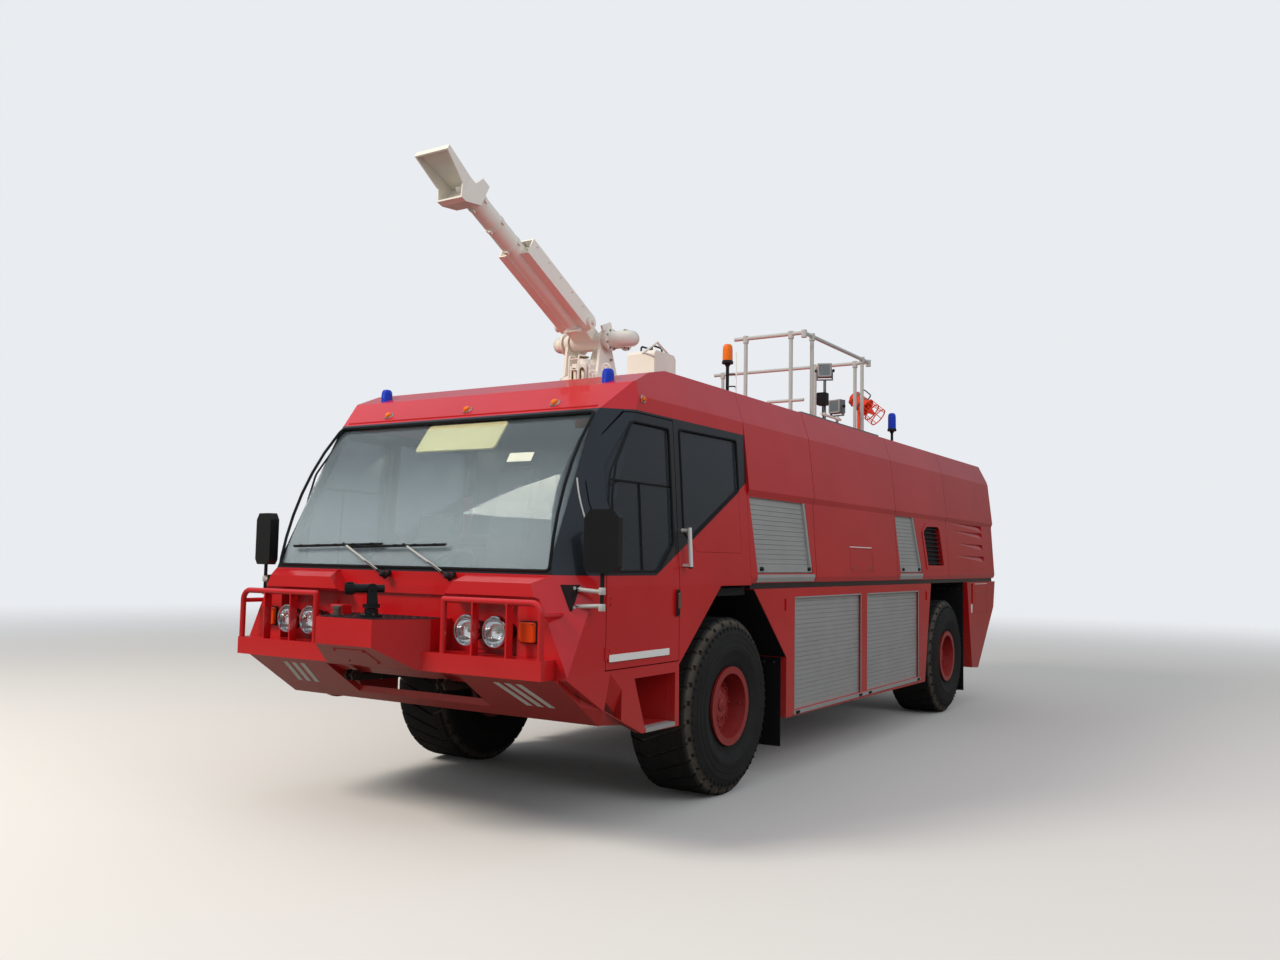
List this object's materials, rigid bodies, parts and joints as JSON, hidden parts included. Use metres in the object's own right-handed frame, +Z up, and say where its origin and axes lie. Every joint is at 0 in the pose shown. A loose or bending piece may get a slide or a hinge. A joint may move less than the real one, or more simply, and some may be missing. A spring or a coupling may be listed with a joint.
{
  "type": "airport fire truck",
  "caption": "Airport crash tender with a wide glazed cab, roof and bumper turrets, steered front wheels, hinged cab doors, side lockers with roller shutters and a railed roof deck.",
  "frame": {"origin": "middle of the bounding box on the ground", "axes": "+Z up, -Y towards the front of the vehicle, +X towards its left side"},
  "size_m": [3.3916, 10.482, 4.7095],
  "materials": {
    "body_paint": "gloss",
    "window_frame": "gloss",
    "tinted_glass": "gloss",
    "chassis_paint": "satin",
    "tyre_rubber": "matt",
    "rim_paint": "satin",
    "cab_trim": "matt",
    "seat_cloth": "matt",
    "lamp_glass": "gloss",
    "black_trim": "matt",
    "bare_aluminium": "satin",
    "stainless_tube": "satin",
    "turret_paint": "gloss"
  },
  "bodies": {
    "root": {"chassis_frame": "chassis_paint", "engine_block": "chassis_paint", "front_axle": "chassis_paint", "rear_axle": "chassis_paint", "leaf_springs": "chassis_paint", "cab_lower": "body_paint", "cab_frame": "window_frame", "cab_roof": "body_paint", "cab_floor": "cab_trim", "cab_glass": "tinted_glass", "dashboard": "cab_trim", "seats": "seat_cloth", "front_bumper": "body_paint", "front_apron": "body_paint", "guard_bars": "body_paint", "front_lamps": "lamp_glass", "mirrors": "black_trim", "wipers": "black_trim", "steps": "bare_aluminium", "grab_rails": "black_trim", "body_deck": "chassis_paint", "body_section_1": "body_paint", "body_section_2": "body_paint", "body_section_3": "body_paint", "body_section_4": "body_paint", "locker_left": "body_paint", "locker_right": "body_paint", "roller_shutters": "bare_aluminium", "rear_skirts": "body_paint", "grilles": "black_trim", "rear_ladder": "stainless_tube", "tail_lamps": "lamp_glass", "mudflaps": "black_trim", "roof_lamps": "lamp_glass", "roof_rails": "stainless_tube", "roof_equipment": "bare_aluminium", "turret_base": "turret_paint", "bumper_turret_base": "black_trim"},
    "knuckle_left": {"knuckle_left": "chassis_paint"},
    "knuckle_right": {"knuckle_right": "chassis_paint"},
    "wheel_front_left": {"tyre_front_left": "tyre_rubber", "rim_front_left": "rim_paint"},
    "wheel_front_right": {"tyre_front_right": "tyre_rubber", "rim_front_right": "rim_paint"},
    "wheel_rear_left": {"tyre_rear_left": "tyre_rubber", "rim_rear_left": "rim_paint"},
    "wheel_rear_right": {"tyre_rear_right": "tyre_rubber", "rim_rear_right": "rim_paint"},
    "door_left": {"door_left": "body_paint", "door_glass_left": "tinted_glass"},
    "door_right": {"door_right": "body_paint", "door_glass_right": "tinted_glass"},
    "turret_head": {"turret_head": "turret_paint"},
    "turret_barrel": {"turret_barrel": "turret_paint", "turret_mouth": "turret_paint"},
    "bumper_turret_head": {"bumper_turret_head": "black_trim"},
    "bumper_turret_nozzle": {"bumper_turret_nozzle": "black_trim"}
  },
  "joints": [
    {"name": "steer_left", "type": "hinge", "parent": "root", "child": "knuckle_left", "pos_m": [1, -2.634, 0.675], "axis": [0, 0, 1], "range_deg": [-30, 30]},
    {"name": "steer_right", "type": "hinge", "parent": "root", "child": "knuckle_right", "pos_m": [-1, -2.634, 0.675], "axis": [0, 0, 1], "range_deg": [-30, 30]},
    {"name": "spin_front_left", "type": "hinge", "parent": "knuckle_left", "child": "wheel_front_left", "pos_m": [1.18, -2.634, 0.675], "axis": [1, 0, 0], "continuous": true},
    {"name": "spin_front_right", "type": "hinge", "parent": "knuckle_right", "child": "wheel_front_right", "pos_m": [-1.18, -2.634, 0.675], "axis": [1, 0, 0], "continuous": true},
    {"name": "spin_rear_left", "type": "hinge", "parent": "root", "child": "wheel_rear_left", "pos_m": [1.18, 3.086, 0.675], "axis": [1, 0, 0], "continuous": true},
    {"name": "spin_rear_right", "type": "hinge", "parent": "root", "child": "wheel_rear_right", "pos_m": [-1.18, 3.086, 0.675], "axis": [1, 0, 0], "continuous": true},
    {"name": "door_left_swing", "type": "hinge", "parent": "root", "child": "door_left", "pos_m": [1.49, -4.429, 1.3], "axis": [0, 0, -1], "range_deg": [0, 75]},
    {"name": "door_right_swing", "type": "hinge", "parent": "root", "child": "door_right", "pos_m": [-1.49, -4.429, 1.3], "axis": [0, 0, 1], "range_deg": [0, 75]},
    {"name": "turret_pan", "type": "hinge", "parent": "root", "child": "turret_head", "pos_m": [0, -2.484, 3.3], "axis": [0, 0, 1], "range_deg": [-110, 110]},
    {"name": "turret_tilt", "type": "hinge", "parent": "turret_head", "child": "turret_barrel", "pos_m": [0, -2.584, 3.66], "axis": [-1, 0, 0], "range_deg": [-38, 42]},
    {"name": "bumper_turret_pan", "type": "hinge", "parent": "root", "child": "bumper_turret_head", "pos_m": [0.085, -5.084, 1.44], "axis": [0, 0, 1], "range_deg": [-50, 130]},
    {"name": "bumper_turret_tilt", "type": "hinge", "parent": "bumper_turret_head", "child": "bumper_turret_nozzle", "pos_m": [0.085, -5.084, 1.57], "axis": [-0.766, 0.6428, 0], "range_deg": [-15, 45]}
  ],
  "couplings": [
    {"joint": "steer_right", "follows": "steer_left", "ratio": 1}
  ]
}
